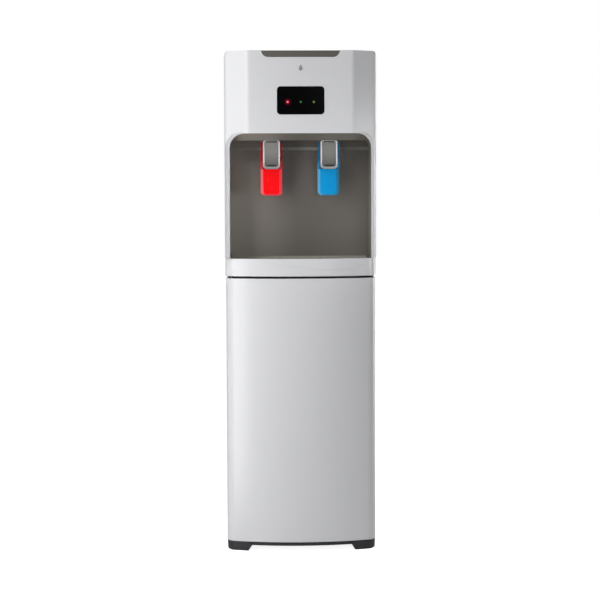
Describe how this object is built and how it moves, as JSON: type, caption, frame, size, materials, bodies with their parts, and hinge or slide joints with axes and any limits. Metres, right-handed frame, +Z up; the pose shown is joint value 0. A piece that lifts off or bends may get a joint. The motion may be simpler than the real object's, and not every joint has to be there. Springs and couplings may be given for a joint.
{
  "type": "bottom-loading water cooler",
  "caption": "Tall white bottom-loading water cooler with a bottle door, a taupe niche, drip tray and red and blue push taps.",
  "frame": {"origin": "on the floor, under the middle of the bounding box", "axes": "+Z up, -Y out of the front door, +X to the right seen from the front"},
  "size_m": [0.3154, 0.345, 1.04],
  "materials": {
    "white_plastic": "satin white moulding",
    "white_steel": "white powder coat",
    "taupe_plastic": "fine-grained taupe moulding",
    "dark_plastic": "dark grey moulding",
    "tap_grey": "grey moulding",
    "silver_plastic": "silver lacquer",
    "lever_red": "glossy red",
    "lever_blue": "glossy blue",
    "window_black": "polished black",
    "lamp_red": "clear lamp",
    "lamp_green": "clear lamp",
    "lamp_lime": "clear lamp",
    "board_green": "solder mask",
    "stainless": "brushed",
    "zinc_steel": "zinc plated",
    "aluminium": "extruded",
    "ceramic": "ceramic",
    "foam": "moulded foam",
    "jacket": "insulation",
    "silicone": "translucent silicone",
    "valve_rubber": "valve rubber",
    "light_plastic": "light grey moulding"
  },
  "bodies": {
    "cabinet": {"base_plinth": "dark_plastic", "side_panel_left": "white_steel", "side_panel_right": "white_steel", "rear_panel": "white_steel", "deck_plate": "zinc_steel", "head_shell": "white_plastic", "top_cover": "taupe_plastic", "display_window": "window_black", "indicator_heating": "lamp_red", "indicator_cooling": "lamp_green", "indicator_power": "lamp_lime", "indicator_board": "board_green", "niche_liner": "taupe_plastic", "tray_shelf": "light_plastic", "hinge_pin_lower": "zinc_steel", "hinge_pin_upper": "zinc_steel", "door_magnet": "dark_plastic", "cold_tank": "stainless", "cold_tank_foam": "foam", "cold_plate": "aluminium", "peltier_module": "ceramic", "heat_sink": "aluminium", "fan_frame": "dark_plastic", "fan_guard": "dark_plastic", "hot_tank": "stainless", "hot_tank_jacket": "jacket", "drain_spout": "light_plastic", "pump": "dark_plastic", "bottle_probe": "light_plastic", "probe_clip": "light_plastic", "hot_hose": "silicone", "cold_hose": "silicone", "transfer_hose": "silicone", "riser_hose": "silicone", "suction_hose": "silicone", "power_supply": "zinc_steel", "switch_housing": "dark_plastic", "power_inlet": "dark_plastic", "hot_tap_bezel": "silver_plastic", "hot_tap_body": "tap_grey", "hot_tap_nozzle": "dark_plastic", "hot_pivot_pin": "zinc_steel", "hot_lever_spring": "zinc_steel", "cold_tap_bezel": "silver_plastic", "cold_tap_body": "tap_grey", "cold_tap_nozzle": "dark_plastic", "cold_pivot_pin": "zinc_steel", "cold_lever_spring": "zinc_steel"},
    "door": {"door_shell": "white_plastic", "door_liner": "light_plastic"},
    "tray": {"drip_tray": "taupe_plastic"},
    "grille": {"drip_grille": "taupe_plastic"},
    "fan": {"fan_rotor": "dark_plastic"},
    "hot_switch": {"switch_hot": "lever_red"},
    "cold_switch": {"switch_cold": "board_green"},
    "drain_plug": {"drain_cap": "dark_plastic"},
    "hot_tap_lever": {"hot_lever": "lever_red"},
    "cold_tap_lever": {"cold_lever": "lever_blue"},
    "hot_valve": {"hot_valve_plunger": "valve_rubber"},
    "cold_valve": {"cold_valve_plunger": "valve_rubber"}
  },
  "joints": [
    {"name": "door_hinge", "type": "hinge", "parent": "cabinet", "child": "door", "pos_m": [-0.1435, -0.1405, 0.29], "axis": [0, 0, -1], "range_deg": [0, 100]},
    {"name": "tray_lift", "type": "slide", "parent": "cabinet", "child": "tray", "axis": [0, 0, 1], "range_m": [0, 0.06]},
    {"name": "grille_lift", "type": "slide", "parent": "tray", "child": "grille", "axis": [0, 0, 1], "range_m": [0, 0.05]},
    {"name": "fan_spin", "type": "hinge", "parent": "cabinet", "child": "fan", "pos_m": [0, 0.145, 0.945], "axis": [0, 1, 0], "continuous": true},
    {"name": "hot_switch_rock", "type": "hinge", "parent": "cabinet", "child": "hot_switch", "pos_m": [0.034, 0.1645, 0.6], "axis": [1, 0, 0], "range_deg": [0, 16]},
    {"name": "cold_switch_rock", "type": "hinge", "parent": "cabinet", "child": "cold_switch", "pos_m": [0.062, 0.1645, 0.6], "axis": [1, 0, 0], "range_deg": [0, 16]},
    {"name": "drain_cap_pull", "type": "slide", "parent": "cabinet", "child": "drain_plug", "axis": [0, 1, 0], "range_m": [0, 0.03]},
    {"name": "hot_lever_press", "type": "hinge", "parent": "cabinet", "child": "hot_tap_lever", "pos_m": [-0.06, -0.1205, 0.839], "axis": [1, 0, 0], "range_deg": [0, 10], "stiffness_Nm_per_rad": 0.35, "springref_deg": -8.59},
    {"name": "hot_valve_lift", "type": "slide", "parent": "cabinet", "child": "hot_valve", "axis": [0, 0, 1], "range_m": [0, 0.003]},
    {"name": "cold_lever_press", "type": "hinge", "parent": "cabinet", "child": "cold_tap_lever", "pos_m": [0.06, -0.1205, 0.839], "axis": [1, 0, 0], "range_deg": [0, 10], "stiffness_Nm_per_rad": 0.35, "springref_deg": -8.59},
    {"name": "cold_valve_lift", "type": "slide", "parent": "cabinet", "child": "cold_valve", "axis": [0, 0, 1], "range_m": [0, 0.003]}
  ],
  "couplings": [
    {"joint": "hot_valve_lift", "follows": "hot_lever_press", "m_per_rad": 0.0155},
    {"joint": "cold_valve_lift", "follows": "cold_lever_press", "m_per_rad": 0.0155}
  ]
}
